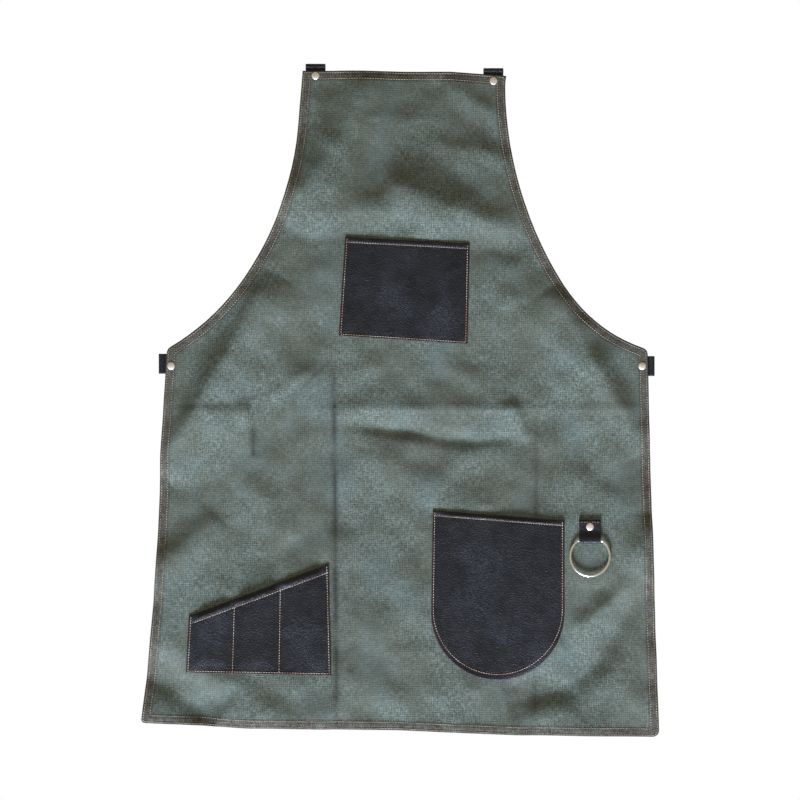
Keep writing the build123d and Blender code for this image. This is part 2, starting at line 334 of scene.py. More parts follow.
CLOTH = resample(cloth_outline(), CLOTH_PITCH)
POCKETS = {name: hull_outline(name) for name in ("chest_pocket", "tool_pocket", "round_pocket")}
RIVETS = {
    name: node_points(f"{name}_rivet_cap").mean(axis=0)[[0, 2]]
    for name in (*STRAP_LOOPS, "ring_tab")
}
RING_CENTRE = sum(node_box("towel_ring"))[[0, 2]] / 2


def closed(outline):
    """An outline with its first point again at its end."""
    return np.vstack([outline, outline[:1]])


def inside_distance(points, outline):
    """How far inside a convex outline each point is; negative outside."""
    ahead = np.roll(outline, -1, axis=0)
    run = ahead - outline
    normal = np.column_stack([-run[:, 1], run[:, 0]]) / np.hypot(*run.T)[:, None]
    return np.min(np.einsum("pij,ij->pi", points[:, None, :] - outline[None], normal), axis=1)


def calm(points):
    """1 on loose cloth, less where leather or hardware holds it flat."""
    still = np.ones(len(points))
    for outline in POCKETS.values():
        still *= 1 - POCKET_HOLD * smooth(*POCKET_CALM, inside_distance(points, outline))
    for place in RIVETS.values():
        still *= smooth(*RIVET_CALM, np.hypot(*(points - place).T))
    return still * smooth(*RING_CALM, np.hypot(*(points - RING_CENTRE).T))


def lift(points):
    """How far the cloth stands forward of flat."""
    points = np.asarray(points, float)
    height = 2.6 * ripple(points, 150, 95, 3.1) + 1.3 * ripple(points, 46, 30, 7.7)
    slanting = 2.2 * ripple(turned(points, 35), 120, 34, 5.3)
    slanting += 1.8 * ripple(turned(points, -40), 95, 30, 8.1)
    height += slanting
    for line, up, down, high in FOLDS:
        far, side, place = beside_line(points, line)
        width = np.where(side > 0, up, down)
        height += high * np.exp(-((far / width) ** 1.7)) * fading(place, 5)
    height += crinkle(points)
    return height * calm(points) + sway(points)


def sway(points):
    """The whole cloth's slow bow: forward at the chest and the hem, back between them."""
    bow = SWAY * np.cos((points[:, 1] - SWAY_CREST) / SWAY_LENGTH * 2 * math.pi) - SWAY_BACK
    for place in RIVETS.values():
        bow *= smooth(*RIVET_SWAY, np.hypot(*(points - place).T))
    return bow * smooth(*RING_SWAY, np.hypot(*(points - RING_CENTRE).T))


def crinkle(points):
    """Pressed creases and the small crumples of stiff canvas."""
    height = 0.28 * ripple(points, 15, 11, 1.3) + 0.1 * ripple(points, 7, 6, 5.9)
    for start, end, high, _ in CREASES:
        far, _, place = beside_line(points, [start, end])
        height += high * np.exp(-far / CREASE_WIDTH) * fading(place, 8)
    return height


def painted_crease_shade(points):
    """How much shade is painted on the cloth along its pressed creases, 0 to 1."""
    crease_shading = np.zeros(len(points))
    for start, end, _, dark in CREASES:
        far, _, place = beside_line(points, [start, end])
        crease_shading = np.maximum(crease_shading, dark * np.exp(-((far / CREASE_SHADE_WIDTH) ** 2)) * fading(place, 8))
    return crease_shading * np.clip(0.75 + 1.3 * ripple(points, 60, 42, 4.9), 0.15, 1)


def hem_relief(points, inset):
    """The hem's puckers, and the dents of its two rows of stitching."""
    band = 1 - smooth(HEM_WIDTH - 1, HEM_WIDTH + 2, inset)
    pucker = HEM_PUCKER * band * ripple(points, 6, 6, 9.2)
    dents = sum(ROW_DENT * np.exp(-(((inset - row) / ROW_DENT_WIDTH) ** 2)) for row in HEM_ROWS)
    return pucker + HEM_SWELL * band - dents


def cloth_faces(points, inset):
    """The cloth's front and back heights at points that are `inset` in from its edge."""
    base = lift(points)
    front = base + FRONT + hem_relief(points, inset)
    thick = np.where(inset < HEM_WIDTH, HEM_BACK, FRONT)
    back = base - thick - 0.6 * np.where(inset < HEM_WIDTH, hem_relief(points, inset), 0)
    return front, back


def cloth_back(points):
    """Where stitches lie on the back of the cloth, away from its hem."""
    return lift(points) - FRONT - BACK_STITCH_OUT


# ---------------------------------------------------------------- mesh making


def new_object(name, mesh, body, material):
    """Adds a piece to the scene, riding on a body and in a material slot."""
    mesh.update()
    obj = bpy.data.objects.new(name, mesh)
    bpy.context.scene.collection.objects.link(obj)
    mesh.materials.append(material)
    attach(obj, body)
    return obj


def mesh_from(name, places, faces):
    """A smooth-shaded mesh from places in millimetres."""
    mesh = bpy.data.meshes.new(name)
    mesh.from_pydata((np.asarray(places) * MM).tolist(), [], faces)
    mesh.polygons.foreach_set("use_smooth", [True] * len(mesh.polygons))
    mesh.validate()
    return mesh


def triangulate(outline, inner):
    """Triangles over an outline and through the points inside it: (points, faces)."""
    count = len(outline)
    points = [Vector(p) for p in np.vstack([outline, inner])]
    rim = [(i, (i + 1) % count) for i in range(count)]
    places, _, faces, _, _, _ = delaunay_2d_cdt(points, rim, [], 1, 1e-5)
    return np.array([tuple(p) for p in places]), faces


def shell(name, outline, inner, faces_at, edge_radius):
    """A closed sheet with rounded edges. faces_at(points, inset) gives its front and back heights."""
    points, faces = triangulate(outline, inner)
    inset = beside_line(points, closed(outline))[0]
    on_rim = inset < 1e-3
    front, back = faces_at(points, inset)
    middle = (front + back) / 2
    bulge = np.sqrt(1 - (1 - np.clip(inset / edge_radius, 0, 1)) ** 2)
    front = middle + (front - middle) * bulge
    back = middle + (back - middle) * bulge
    below = np.cumsum(~on_rim) - 1 + len(points)
    below[on_rim] = np.flatnonzero(on_rim)
    places = np.vstack([
        np.column_stack([points[:, 0], -front, points[:, 1]]),
        np.column_stack([points[~on_rim, 0], -back[~on_rim], points[~on_rim, 1]]),
    ])
    facing = [tuple(f) for f in faces]
    behind = [tuple(int(below[i]) for i in reversed(f)) for f in faces]
    mesh = mesh_from(name, places, facing + behind)
    mark(mesh, "edge", np.minimum(np.concatenate([inset, inset[~on_rim]]), 60))
    return mesh


def mark(mesh, name, values):
    """Gives each vertex a value that the materials can read."""
    attribute = mesh.attributes.new(name, "FLOAT", "POINT")
    attribute.data.foreach_set("value", np.asarray(values, np.float32))


def filling(outline, pitch, clear, insets, lines=()):
    """Points inside an outline: rings in from its edge, points along lines, and a grid over the rest."""
    rings = [inset_line(outline, inset) for inset in insets]
    marks = [spread(np.array(line, float), pitch) for line in lines]
    low, high = outline.min(axis=0), outline.max(axis=0)
    rows = np.arange(low[1], high[1], pitch * math.sqrt(3) / 2)
    columns = np.arange(low[0], high[0], pitch)
    grid = np.array([(x + pitch / 2 * (k % 2), z) for k, z in enumerate(rows) for x in columns])
    grid = grid[inside(grid, outline)]
    grid = grid[beside_line(grid, closed(outline))[0] > clear]
    for line in marks:
        grid = grid[beside_line(grid, line)[0] > 0.55 * pitch]
    marks = [m[inside(m, outline)] for m in marks]
    marks = [m[beside_line(m, closed(outline))[0] > clear] for m in marks]
    return np.vstack(rings + marks + [grid])


def inside(points, outline):
    """Which points are inside an outline, by how often a ray to the right crosses it."""
    x, z = points.T
    odd = np.zeros(len(points), bool)
    for (ax, az), (bx, bz) in zip(outline, np.roll(outline, -1, axis=0)):
        if az == bz:
            continue
        spans = (az > z) != (bz > z)
        odd ^= spans & (x < ax + (z - az) * (bx - ax) / (bz - az))
    return odd


def tube_rings(line, radii, sides):
    """Rings of points round a line, with each ring's radius."""
    line = np.asarray(line, float)
    along = np.gradient(line, axis=0)
    along /= np.linalg.norm(along, axis=1)[:, None]
    across = np.cross(along, (0.0, 1.0, 0.0))
    across /= np.linalg.norm(across, axis=1)[:, None]
    out = np.cross(along, across)
    turns = np.arange(sides) * 2 * math.pi / sides
    radii = np.asarray(radii, float)
    return np.vstack([
        p + r * (np.cos(turns)[:, None] * a + np.sin(turns)[:, None] * o)
        for p, r, a, o in zip(line, radii, across, out)
    ])


def ring_faces(count, sides, base):
    """Faces between rings of points, with both ends closed."""
    faces = []
    for k in range(count - 1):
        for s in range(sides):
            a, b = base + k * sides + s, base + k * sides + (s + 1) % sides
            faces.append((a, b, b + sides, a + sides))
    faces.append(tuple(base + s for s in reversed(range(sides))))
    faces.append(tuple(base + (count - 1) * sides + s for s in range(sides)))
    return faces


# ---------------------------------------------------------------- stitching


def stitch_row(line, height_at, sign, places, faces, skip=None):
    """Adds a row of stitches along a line, on a surface that faces the front (1) or the back (-1)."""
    runs = np.r_[0, np.cumsum(np.hypot(*np.diff(line, axis=0).T))]
    count = int(runs[-1] // STITCH_PITCH)
    starts = (np.arange(count) + 0.5) * runs[-1] / count - STITCH_LENGTH / 2
    at = starts[:, None] + np.linspace(0, STITCH_LENGTH, len(STITCH_BOW))
    x, z = (np.interp(at, runs, line[:, k]) for k in (0, 1))
    points = np.column_stack([x.ravel(), z.ravel()])
    height = height_at(points).reshape(x.shape) + sign * np.array(STITCH_BOW)
    for row in range(count):
        middle = np.array((x[row].mean(), z[row].mean()))
        if skip is not None and skip(middle):
            continue
        core = np.column_stack([x[row], -height[row], z[row]])
        base = sum(len(p) for p in places)
        places.append(tube_rings(core, np.array(STITCH_TAPER) * STITCH_RADIUS, STITCH_SIDES))
        faces += ring_faces(len(STITCH_BOW), STITCH_SIDES, base)


def under_a_rivet(place):
    """Whether a place on the hem's front is behind a rivet's cap."""
    return any(math.dist(place, rivet) < RIVET_CLEAR for rivet in RIVETS.values())


def under_a_loop(place):
    """Whether a place on the hem's back is behind a strap loop."""
    return any(math.dist(place, RIVETS[name]) < LOOP_CLEAR for name in STRAP_LOOPS)


def hem_stitches(name, inset, material):
    """One row round the hem: its stitches on the front and on the back."""

    def front_at(points):
        return cloth_faces(points, np.full(len(points), inset))[0] + HEM_STITCH_OUT

    def back_at(points):
        return cloth_faces(points, np.full(len(points), inset))[1] - HEM_STITCH_OUT

    line = closed(inset_line(CLOTH, inset))
    places, faces = [], []
    stitch_row(line, front_at, 1, places, faces, under_a_rivet)
    stitch_row(line, back_at, -1, places, faces, under_a_loop)
    mesh = mesh_from(name, np.vstack(places), faces)
    obj = new_object(name + "_stitches", mesh, "apron", material)
    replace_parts(obj, name)


# ---------------------------------------------------------------- pockets


def mouth_of(outline):
    """A pocket's mouth: the ends, left then right, of its long edge that faces most nearly up."""
    runs = outline - np.roll(outline, -1, axis=0)
    lengths = np.hypot(*runs.T)
    top = max(np.flatnonzero(lengths > 60), key=lambda k: runs[k, 0] / lengths[k])
    return outline[(top + 1) % len(outline)], outline[top]


def open_line(outline, start, end):
    """The part of a closed outline from its point nearest `start` round to that nearest `end`."""
    first = int(np.argmin(np.hypot(*(outline - start).T)))
    outline = np.roll(outline, -first, axis=0)
    last = int(np.argmin(np.hypot(*(outline - end).T)))
    return outline[: last + 1]


class Pocket:
    """A leather patch pocket: flat where it is sewn, and standing open towards its mouth."""

    def __init__(self, name, stand, mouth_row=MOUTH_ROW, dividers=()):
        self.name = name
        self.stand = stand
        self.mouth_row = mouth_row
        self.dividers = dividers
        self.outline = POCKETS[name]
        self.left, self.right = mouth_of(self.outline)
        self.along = (self.right - self.left) / math.dist(self.right, self.left)
        thread = resample(hull_outline(name + "_thread"), 2.0)
        self.row = open_line(inset_line(thread, THREAD_WIDTH / 2), self.left, self.right)
        self.depth = max(self.below_mouth(self.outline))

    def below_mouth(self, points):
        """How far below the mouth's line points are."""
        gap = points - self.left
        return self.along[1] * gap[:, 0] - self.along[0] * gap[:, 1]

    def across_mouth(self, down, trim=0.0):
        """A line parallel to the mouth, that far below it."""
        shift = np.array((self.along[1], -self.along[0])) * down
        return np.array([self.left + shift + self.along * trim, self.right + shift - self.along * trim])

    def from_rows(self, points):
        """Distance from the nearest row that holds the pocket to the cloth."""
        far = beside_line(points, self.row)[0]
        for line in self.dividers:
            far = np.minimum(far, beside_line(points, line)[0])
        return far

    def rise(self, points):
        """How far the leather's back stands off the cloth."""
        within = inside_distance(points, self.outline) > ROW_IN
        full_at = 17.0 if self.dividers else 30.0  # this far from a row, the leather stands fully
        swell = within * smooth(1.2, full_at, self.from_rows(points))
        openness = 0.08 + 0.92 * np.clip(1 - self.below_mouth(points) / self.depth, 0, 1) ** 1.3
        slack = 1 + 0.25 * ripple(points, 38, 52, 2.4) + 0.1 * ripple(points, 15, 20, 8.8)
        return self.stand * swell * openness * slack

    def faces_at(self, points, inset):
        """The leather's front and back heights: a folded mouth, pebbled skin and sunken rows."""
        down = self.below_mouth(points)
        fold = 1 - smooth(self.mouth_row - 0.2, self.mouth_row + 1.2, down)
        round_fold = fold * np.sin(np.clip(down / self.mouth_row, 0, 1) * math.pi) ** 0.5
        grain = 0.12 * ripple(points, 8, 8, 6.1) + 0.1 * ripple(points, 3.6, 3.6, 4.4)
        rows = 0.35 * np.exp(-((self.from_rows(points) / 0.9) ** 2))
        rows += 0.5 * np.exp(-(((down - self.mouth_row) / 1.0) ** 2))
        back = lift(points) + FRONT + 0.05 + self.rise(points)
        front = back + LEATHER + 0.35 * fold + 0.45 * round_fold + grain - rows
        return front, back - 0.3 * fold * smooth(0, 4, self.rise(points))

    def front_at(self, points):
        """Where stitches lie on the leather."""
        return self.faces_at(points, None)[0] + 0.2

    def make(self, material):
        """The leather, meshed finely along its rows and its folded mouth."""
        rim = resample(self.outline, LEATHER_PITCH)
        marks = (2.0, 4.0, self.mouth_row - 1, self.mouth_row, self.mouth_row + 1.2)
        lines = [self.across_mouth(down) for down in marks] + [self.row[::2], *self.dividers]
        inner = filling(rim, LEATHER_PITCH, clear=2.2, insets=(0.25, 0.7, 1.4), lines=lines)
        mesh = shell(self.name, rim, inner, self.faces_at, edge_radius=0.9)
        obj = new_object(self.name + "_leather", mesh, "apron", material)
        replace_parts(obj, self.name)

    def stitches(self, material):
        """The rows that go through to the cloth's back, and the mouth's row, which doesn't."""
        node = self.name + "_thread"
        through = [self.row, *(spread(np.array(line), 2.0) for line in self.dividers)]
        mouth = spread(self.across_mouth(self.mouth_row, ROW_IN + 0.8), 2.0)
        places, faces = [], []
        for line in (*through, mouth):
            stitch_row(line, self.front_at, 1, places, faces)
        for line in through:
            stitch_row(line, cloth_back, -1, places, faces)
        mesh = mesh_from(node, np.vstack(places), faces)
        obj = new_object(self.name + "_stitches", mesh, "apron", material)
        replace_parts(obj, node)


# ---------------------------------------------------------------- straps, tab, rivets


def strap(name, centre_line, across, width, thick):
    """A leather strip: a rounded section swept along a line. across is the direction of its width."""
    line = np.asarray(centre_line, float)
    across = np.asarray(across, float)
    along = np.gradient(line, axis=0)
    along /= np.linalg.norm(along, axis=1)[:, None]
    out = np.cross(along, across)
    section = rounded_section(width, thick)
    places = np.vstack([p + section[:, :1] * across + section[:, 1:] * o for p, o in zip(line, out)])
    mesh = mesh_from(name, places, ring_faces(len(line), len(section), 0))
    mark(mesh, "edge", np.tile(width / 2 - np.abs(section[:, 0]), len(line)))
    return mesh


def rounded_section(width, thick):
    """A strip's section: flat faces, soft edges."""
    half, r = width / 2, thick / 2
    flat = np.linspace(-(half - r), half - r, 9)
    bow = 0.06 * np.cos(flat / half * math.pi / 2)
    turn = np.linspace(math.pi / 2, -math.pi / 2, 7)[1:-1]
    top = [(x, r + b) for x, b in zip(flat, bow)]
    right = [(half - r + r * math.cos(a), r * math.sin(a)) for a in turn]
    bottom = [(x, -r) for x in flat[::-1]]
    left = [(-x, -z) for x, z in right]
    return np.array(top + right + bottom + left)[::-1]


def loop_strap(name, material):
    """A strap loop: up from behind the hem, round its eye and back down."""
    node = f"{name}_loop"
    low, high = node_box(node)
    out = {"bib": (0, 1), "waist": (1 if low[0] > 0 else -1, 0)}[name.split("_")[0]]
    middle = (low + high) / 2
    reach = high[2] if out[1] else (high[0] if out[0] > 0 else low[0])
    back = low[1] + (high[1] - low[1]) / 2
    radius = LOOP_EYE - STRAP / 2
    tail = (high[2] - low[2] if out[1] else high[0] - low[0]) - LOOP_EYE
    turn = np.linspace(-math.pi / 2, math.pi / 2, 15)
    near = [(-t, -STRAP / 2) for t in np.linspace(tail, 5, 7)] + [(-2.5, -STRAP / 2 - 0.7)]
    arc = [(radius * math.cos(a), radius * math.sin(a)) for a in turn]
    far = [(u, -v) for u, v in near[::-1]]
    line = []
    for u, v in near + arc + far:
        place = np.array([middle[0], back + v, middle[2]])
        if out[1]:
            place[2] = reach - LOOP_EYE + u
        else:
            place[0] = reach + out[0] * (u - LOOP_EYE)
        line.append(place)
    across = (1, 0, 0) if out[1] else (0, 0, 1)
    mesh = strap(node, line, across, LOOP_WIDTH, STRAP - STRAP_GAP)
    fix_normals(mesh)
    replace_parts(new_object(f"{name}_strap_loop", mesh, "apron", material), node)


def fix_normals(mesh):
    """Turns a closed mesh's faces to point outwards."""
    bm = bmesh.new()
    bm.from_mesh(mesh)
    bmesh.ops.recalc_face_normals(bm, faces=bm.faces)
    bm.to_mesh(mesh)
    bm.free()


def tab_strap(material):
    """The ring's tab: down the front, round the bar and up behind."""
    low, high = node_box("ring_tab")
    ring_low, ring_high = node_box("towel_ring")
    bar_y = (ring_low[1] + ring_high[1]) / 2
    bar_z = ring_high[2] - WIRE_RADIUS
    middle_x = (low[0] + high[0]) / 2
    radius = FOLD_INSIDE + STRAP / 2
    front_y, rear_y = -(FRONT + STRAP * 1.5), -(FRONT + STRAP / 2)
    flat_above = 12.5  # the front layer lies flat down to this far above the bar
    heights = np.linspace(high[2], bar_z + flat_above, 6)
    front = [(front_y, z) for z in heights]
    for h in (10, 7.5, 5, 3):
        forward = (bar_y - radius - front_y) * smooth(flat_above, 1.5, h)
        front.append((front_y + forward, bar_z + h))
    turn = np.linspace(math.pi, 2 * math.pi, 15)
    fold = [(bar_y + radius * math.cos(a), bar_z + radius * math.sin(a)) for a in turn]
    rear = [(rear_y, z) for z in (*(bar_z + h for h in (3, 6, 9)), *heights[::-1])]
    line = [(middle_x, y, z) for y, z in front + fold + rear]
    mesh = strap("ring_tab", line, (1, 0, 0), high[0] - low[0], STRAP - STRAP_GAP)
    fix_normals(mesh)
    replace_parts(new_object("ring_tab_leather", mesh, "apron", material), "ring_tab")
    return front_y - STRAP / 2


def tab_stitches(front_y, material):
    """The row across the tab's top, on the leather and on the cloth's back."""
    low, high = node_box("ring_tab")
    row_z, side_in = high[2] - ROW_IN, 1.8
    line = spread(np.array([(low[0] + side_in, row_z), (high[0] - side_in, row_z)]), 2.0)
    places, faces = [], []
    stitch_row(line, lambda p: np.full(len(p), -front_y + 0.05), 1, places, faces)
    stitch_row(line, cloth_back, -1, places, faces)
    mesh = mesh_from("ring_tab_thread", np.vstack(places), faces)
    obj = new_object("ring_tab_stitches", mesh, "apron", material)
    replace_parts(obj, "ring_tab_thread")


def lathe(name, profile, centre, facing):
    """A turned piece about a front-to-back line. profile is (radius, height towards `facing`)."""
    sides = 48
    turns = np.arange(sides) * 2 * math.pi / sides
    rings = []
    for radius, height in profile:
        x = centre[0] + radius * np.cos(turns)
        y = np.full(sides, centre[1] + facing * height)
        z = centre[2] + radius * np.sin(turns)
        rings.append(np.column_stack([x, y, z]))
    mesh = mesh_from(name, np.vstack(rings), ring_faces(len(profile), sides, 0))
    fix_normals(mesh)
    return mesh


def rivet(name, material):
    """The domed cap in front and the flat cap behind, each with its stem."""
    cap_low, cap_high = node_box(f"{name}_rivet_cap")
    post_low, post_high = node_box(f"{name}_rivet_post")
    x, z = (cap_low[0] + cap_high[0]) / 2, (cap_low[2] + cap_high[2]) / 2
    seat = cap_low[1] + CAP_HEIGHT
    stem = cap_high[1] - seat
    dome = [(5.0 * math.sin(a), 0.45 + 1.2 * math.cos(a)) for a in np.linspace(math.pi / 2, 0.12, 14)]
    cap = [(1.3, -stem), (1.3, 0.0), (4.7, 0.0), (4.95, 0.12), *dome, (0.3, 1.63)]
    mesh = lathe(name + "_cap", cap, (x, seat, z), -1)
    obj = new_object(f"{name}_cap", mesh, "apron", material)
    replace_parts(obj, f"{name}_rivet_cap")
    rear = post_high[1]
    under = [(1.9, -(rear - post_low[1])), (1.9, -1.2), (4.2, -1.2)]
    rim = [(4.5, -1.0), (4.5, -0.5), (4.3, -0.15), (3.9, 0.0)]
    dimple = [(2.2, 0.0), (1.8, -0.25), (0.2, -0.3)]
    mesh = lathe(name + "_back", under + rim + dimple, (x, rear, z), 1)
    obj = new_object(f"{name}_back", mesh, "apron", material)
    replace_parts(obj, f"{name}_rivet_post")


# ---------------------------------------------------------------- materials


class Nodes:
    """A short way to write a material's nodes."""

    def __init__(self, name):
        self.material = bpy.data.materials.new(name)
        self.material.use_nodes = True
        self.tree = self.material.node_tree
        self.shader = self.tree.nodes["Principled BSDF"]
        self.coords = self.add("ShaderNodeTexCoord").outputs["Object"]

    def add(self, kind, **settings):
        node = self.tree.nodes.new(kind)
        for key, value in settings.items():
            setattr(node, key, value)
        return node

    def link(self, value, socket):
        """Feeds a socket from another node, or sets its value."""
        if isinstance(value, bpy.types.NodeSocket):
            self.tree.links.new(value, socket)
        else:
            socket.default_value = value

    def stretched(self, x, y, z):
        node = self.add("ShaderNodeMapping")
        self.link(self.coords, node.inputs["Vector"])
        node.inputs["Scale"].default_value = (x, y, z)
        return node.outputs["Vector"]

    def noise(self, scale, detail=2.0, rough=0.5, vector=None):
        node = self.add("ShaderNodeTexNoise")
        self.link(vector or self.coords, node.inputs["Vector"])
        node.inputs["Scale"].default_value = scale
        node.inputs["Detail"].default_value = detail
        node.inputs["Roughness"].default_value = rough
        return node.outputs["Fac"]

    def cells(self, scale, feature="F1", vector=None):
        node = self.add("ShaderNodeTexVoronoi", feature=feature)
        self.link(vector or self.coords, node.inputs["Vector"])
        node.inputs["Scale"].default_value = scale
        return node.outputs["Distance"]

    def wave(self, scale, axis, distortion=0.0):
        node = self.add("ShaderNodeTexWave", bands_direction=axis)
        self.link(self.coords, node.inputs["Vector"])
        node.inputs["Scale"].default_value = scale
        node.inputs["Distortion"].default_value = distortion
        node.inputs["Detail Scale"].default_value = 2.0
        return node.outputs["Fac"]

    def math(self, operation, a, b=0.0):
        node = self.add("ShaderNodeMath", operation=operation)
        self.link(a, node.inputs[0])
        self.link(b, node.inputs[1])
        return node.outputs[0]

    def remap(self, value, low, high, to_low=0.0, to_high=1.0):
        """A smooth step from `to_low` at `low` to `to_high` at `high`."""
        node = self.add("ShaderNodeMapRange", interpolation_type="SMOOTHSTEP")
        for socket, v in zip(node.inputs, (value, low, high, to_low, to_high)):
            self.link(v, socket)
        return node.outputs["Result"]

    def mix(self, factor, a, b):
        node = self.add("ShaderNodeMix", data_type="RGBA")
        sockets = [s for s in node.inputs if s.type == "RGBA"]
        self.link(factor, node.inputs["Factor"])
        self.link(a, sockets[0])
        self.link(b, sockets[1])
        return [s for s in node.outputs if s.type == "RGBA"][0]

    def attribute(self, name):
        return self.add("ShaderNodeAttribute", attribute_name=name).outputs["Fac"]

    def bump(self, height, strength, distance, normal=None):
        node = self.add("ShaderNodeBump")
        node.inputs["Strength"].default_value = strength
        node.inputs["Distance"].default_value = distance
        self.link(height, node.inputs["Height"])
        if normal is not None:
            self.link(normal, node.inputs["Normal"])
        return node.outputs["Normal"]

    def finish(self, color, roughness, normal=None, **values):
        """The material, with its shader's sockets set; `_` in a name stands for a space."""
        self.link(color, self.shader.inputs["Base Color"])
        self.link(roughness, self.shader.inputs["Roughness"])
        if normal is not None:
            self.link(normal, self.shader.inputs["Normal"])
        for key, value in values.items():
            self.shader.inputs[key.replace("_", " ")].default_value = value
        return self.material


def canvas_material():
    """Green-grey canvas: pale slubs on a dark ground, washed patches, a browned hem, and shade painted
    along the hem's edges and the pressed creases.
    """
    n = Nodes("canvas")
    warp = n.noise(1.0, 1.0, 0.6, n.stretched(620, 1, 140))
    weft = n.noise(1.0, 1.0, 0.6, n.stretched(150, 1, 620))
    fine = n.noise(1.0, 2.0, 0.6, n.stretched(1400, 1, 900))
    fleck = n.noise(1.0, 0.0, 0.5, n.stretched(620, 1, 560))
    patch = n.noise(11.0, 1.5, 0.5)
    ribs = n.math("ADD", n.wave(116.0, "X", distortion=2.0), n.wave(112.0, "Z", distortion=2.0))
    thread = n.math("ADD", n.math("MULTIPLY", warp, 0.52), n.math("MULTIPLY", weft, 0.48))
    thread = n.math("ADD", thread, n.math("MULTIPLY", n.math("SUBTRACT", fine, 0.5), 0.2))
    thread = n.math("ADD", thread, n.math("MULTIPLY", n.math("SUBTRACT", ribs, 1.0), 0.08))
    dark, mid, pale = (0.058, 0.072, 0.052, 1), (0.118, 0.145, 0.116, 1), (0.190, 0.228, 0.198, 1)
    color = n.mix(n.remap(thread, 0.36, 0.57), dark, mid)
    color = n.mix(n.remap(thread, 0.50, 0.70), color, pale)
    color = n.mix(n.remap(fleck, 0.60, 0.78, 0.0, 0.25), color, (0.27, 0.325, 0.29, 1))
    color = n.mix(n.remap(fleck, 0.24, 0.40, 0.45, 0.0), color, (0.040, 0.042, 0.030, 1))
    color = n.mix(n.remap(patch, 0.38, 0.62, 0.0, 0.5), color, (0.088, 0.094, 0.066, 1))
    mottle = n.noise(44.0, 2.0, 0.55)
    color = n.mix(n.remap(mottle, 0.34, 0.52, 0.32, 0.0), color, (0.068, 0.074, 0.050, 1))
    color = n.mix(n.remap(mottle, 0.52, 0.70, 0.0, 0.22), color, (0.160, 0.205, 0.185, 1))
    cool = n.noise(14.0, 1.5, 0.5, n.stretched(1.1, 1.1, 0.9))
    color = n.mix(n.remap(cool, 0.50, 0.70, 0.0, 0.28), color, (0.112, 0.160, 0.150, 1))
    edge = n.attribute("edge")
    hem = n.remap(edge, HEM_WIDTH - 2.0, HEM_WIDTH + 0.5, 1.0, 0.0)
    rust = n.math("MULTIPLY", hem, n.remap(n.noise(75.0, 4.0, 0.7), 0.38, 0.62, 0.45, 0.92))
    browned = n.mix(n.remap(thread, 0.38, 0.64), (0.040, 0.033, 0.022, 1), (0.112, 0.094, 0.068, 1))
    color = n.mix(rust, color, browned)
    # Painted shade: a dark line where the hem's raised band steps down to the cloth
    hem_shade_falloff = n.remap(edge, HEM_WIDTH, HEM_WIDTH + 2.5, 0.45, 0.0)
    hem_step_shade = n.math("MULTIPLY", hem_shade_falloff, n.remap(edge, HEM_WIDTH - 2, HEM_WIDTH))
    color = n.mix(hem_step_shade, color, (0.030, 0.030, 0.022, 1))
    # Painted shade along the cloth's rolled outer edge
    hem_edge_shade = n.remap(edge, 0.0, 2.2, 0.75, 0.0)
    color = n.mix(hem_edge_shade, color, (0.040, 0.034, 0.024, 1))
    # Painted shade: a dark line along each pressed crease
    color = n.mix(n.attribute("crease_shading"), color, (0.034, 0.036, 0.026, 1))
    weave = n.math("ADD", n.wave(330.0, "X", distortion=0.6), n.wave(330.0, "Z", distortion=0.6))
    normal = n.bump(weave, 0.25, 0.0004)
    normal = n.bump(thread, 0.6, 0.0010, normal)
    roughness = n.remap(thread, 0.3, 0.7, 0.95, 0.8)
    sheen = {"Sheen_Weight": 0.18, "Sheen_Roughness": 0.5, "Sheen_Tint": (0.60, 0.80, 1.0, 1)}
    return n.finish(color, roughness, normal, Specular_IOR_Level=0.25, **sheen)


def leather_material():
    """Black pebbled leather with painted bluish highlights on its grain, and a little brown where its
    edges are worn.
    """
    n = Nodes("leather")
    pebbles = n.cells(620.0, vector=n.stretched(1, 1, 0.85))
    creases = n.cells(230.0, "DISTANCE_TO_EDGE")
    patch = n.noise(35.0, 3.0, 0.6)
    color = n.mix(n.remap(patch, 0.35, 0.7), (0.0038, 0.0042, 0.0052, 1), (0.0105, 0.0110, 0.0130, 1))
    color = n.mix(n.remap(pebbles, 0.05, 0.6, 0.0, 0.35), color, (0.015, 0.017, 0.021, 1))
    # Painted highlights: bluish glints on the pebbles, in broad patches
    glint_patches = n.remap(n.noise(14.0, 3.0, 0.6), 0.46, 0.66)
    glint_specks = n.remap(n.noise(480.0, 2.0, 0.6), 0.4, 0.62)
    painted_glints = n.math("MULTIPLY", glint_patches, glint_specks)
    color = n.mix(n.math("MULTIPLY", painted_glints, 0.6), color, (0.038, 0.045, 0.057, 1))
    rim = n.remap(n.attribute("edge"), 0.0, 1.6, 1.0, 0.0)
    worn = n.math("MULTIPLY", rim, n.remap(patch, 0.4, 0.6, 0.2, 0.8))
    color = n.mix(worn, color, (0.055, 0.030, 0.020, 1))
    normal = n.bump(pebbles, 0.75, 0.0007)
    normal = n.bump(n.remap(creases, 0.0, 0.08), 0.25, 0.0004, normal)
    roughness = n.remap(n.noise(90.0, 3.0, 0.6), 0.3, 0.7, 0.38, 0.56)
    polish = {"Specular_IOR_Level": 0.27, "Coat_Weight": 0.04, "Coat_Roughness": 0.35}
    return n.finish(color, roughness, normal, **polish)


def thread_material(name, color, other):
    """Twisted cotton thread."""
    n = Nodes(name)
    tone = n.remap(n.noise(28.0, 4.0, 0.75), 0.36, 0.62)
    twist = n.wave(900.0, "DIAGONAL")
    mixed = n.mix(tone, color, other)
    return n.finish(mixed, 0.75, n.bump(twist, 0.4, 0.0002), Sheen_Weight=0.2)


